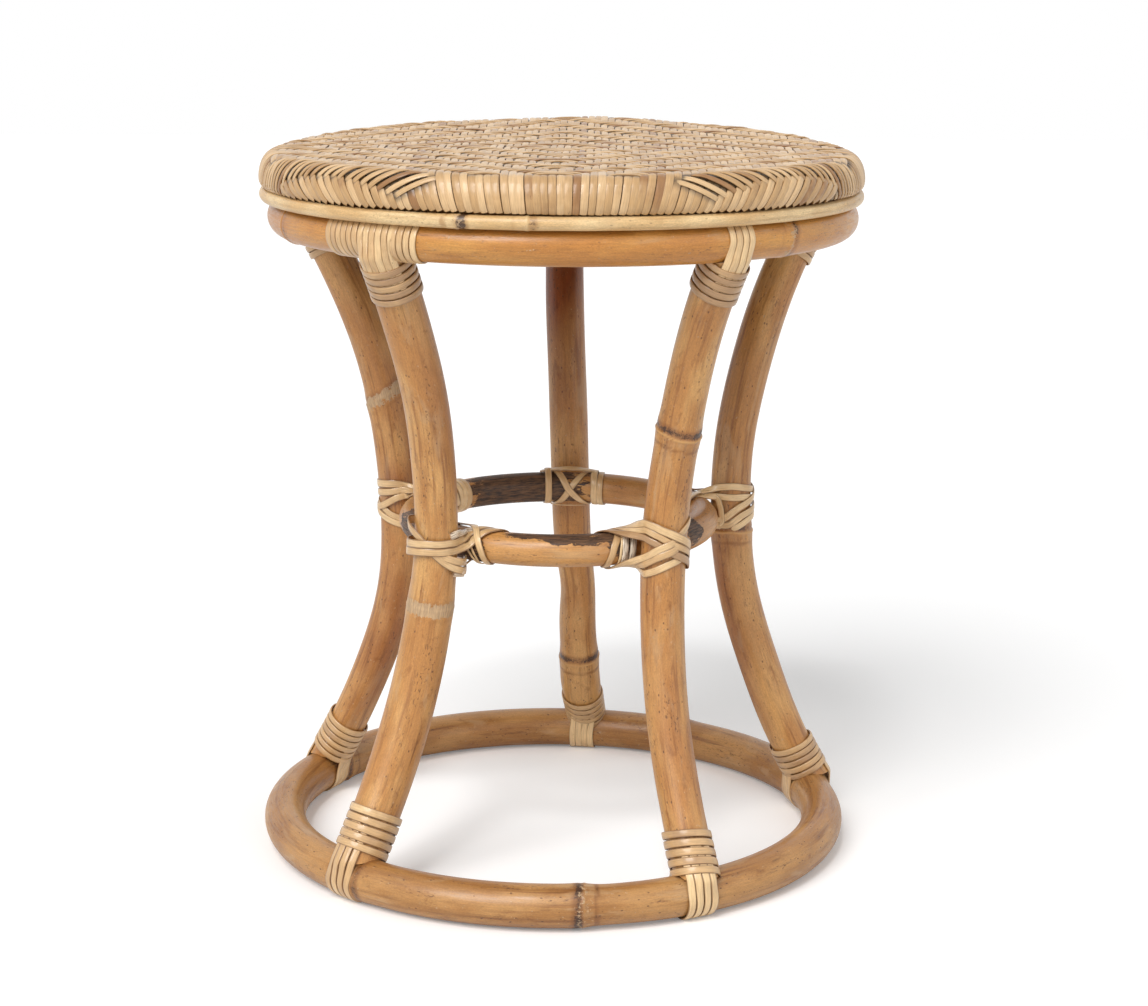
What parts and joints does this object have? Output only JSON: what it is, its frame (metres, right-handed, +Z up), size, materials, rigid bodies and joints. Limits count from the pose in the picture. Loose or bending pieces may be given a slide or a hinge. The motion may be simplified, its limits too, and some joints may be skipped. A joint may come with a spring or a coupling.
{
  "type": "rattan stool",
  "caption": "Round rattan stool with bowed cane legs bound to rings at floor, waist and seat, and a flat seat woven from strips.",
  "frame": {"origin": "on the floor, at the middle of the base ring", "axes": "+Z up, +X to the right and -Y to the front as the picture shows the stool"},
  "size_m": [0.379, 0.3812, 0.4559],
  "materials": {
    "ring_cane": "peeled rattan pole, honey brown, satin varnish, patches of dark bark left on",
    "leg_cane": "peeled rattan pole, honey brown, satin varnish, with raised nodes and dark specks",
    "trim_cane": "thin pale cane, satin varnish",
    "support_cane": "plain peeled cane",
    "woven_strip": "split cane strip, straw to tan, glossy skin side out",
    "binding_strip": "split cane strip, straw to tan, glossy skin side out",
    "nail": "dull dark steel wire nail"
  },
  "bodies": {
    "root": {"base_ring": "ring_cane", "waist_ring": "ring_cane", "seat_ring": "ring_cane", "seat_hoop": "support_cane", "trim_cane": "trim_cane", "leg_front_left": "leg_cane", "leg_front_right": "leg_cane", "leg_back_right": "leg_cane", "leg_rear": "leg_cane", "leg_back_left": "leg_cane", "support_cane_front": "support_cane", "support_cane_middle": "support_cane", "support_cane_rear": "support_cane", "woven_seat": "woven_strip", "top_saddle_front_left": "binding_strip", "top_collar_front_left": "binding_strip", "foot_saddle_front_left": "binding_strip", "foot_collar_front_left": "binding_strip", "waist_lashing_front_left": "binding_strip", "top_saddle_front_right": "binding_strip", "top_collar_front_right": "binding_strip", "foot_saddle_front_right": "binding_strip", "foot_collar_front_right": "binding_strip", "waist_lashing_front_right": "binding_strip", "top_saddle_back_right": "binding_strip", "top_collar_back_right": "binding_strip", "foot_saddle_back_right": "binding_strip", "foot_collar_back_right": "binding_strip", "waist_lashing_back_right": "binding_strip", "top_saddle_rear": "binding_strip", "top_collar_rear": "binding_strip", "foot_saddle_rear": "binding_strip", "foot_collar_rear": "binding_strip", "waist_lashing_rear": "binding_strip", "top_saddle_back_left": "binding_strip", "top_collar_back_left": "binding_strip", "foot_saddle_back_left": "binding_strip", "foot_collar_back_left": "binding_strip", "waist_lashing_back_left": "binding_strip", "ring_wrap_left": "binding_strip", "ring_wrap_right": "binding_strip", "nail_top_front_left": "nail", "nail_foot_front_left": "nail", "nail_waist_front_left": "nail", "nail_top_front_right": "nail", "nail_foot_front_right": "nail", "nail_waist_front_right": "nail", "nail_top_back_right": "nail", "nail_foot_back_right": "nail", "nail_waist_back_right": "nail", "nail_top_rear": "nail", "nail_foot_rear": "nail", "nail_waist_rear": "nail", "nail_top_back_left": "nail", "nail_foot_back_left": "nail", "nail_waist_back_left": "nail", "pin_front_left": "nail"}
  },
  "joints": []
}
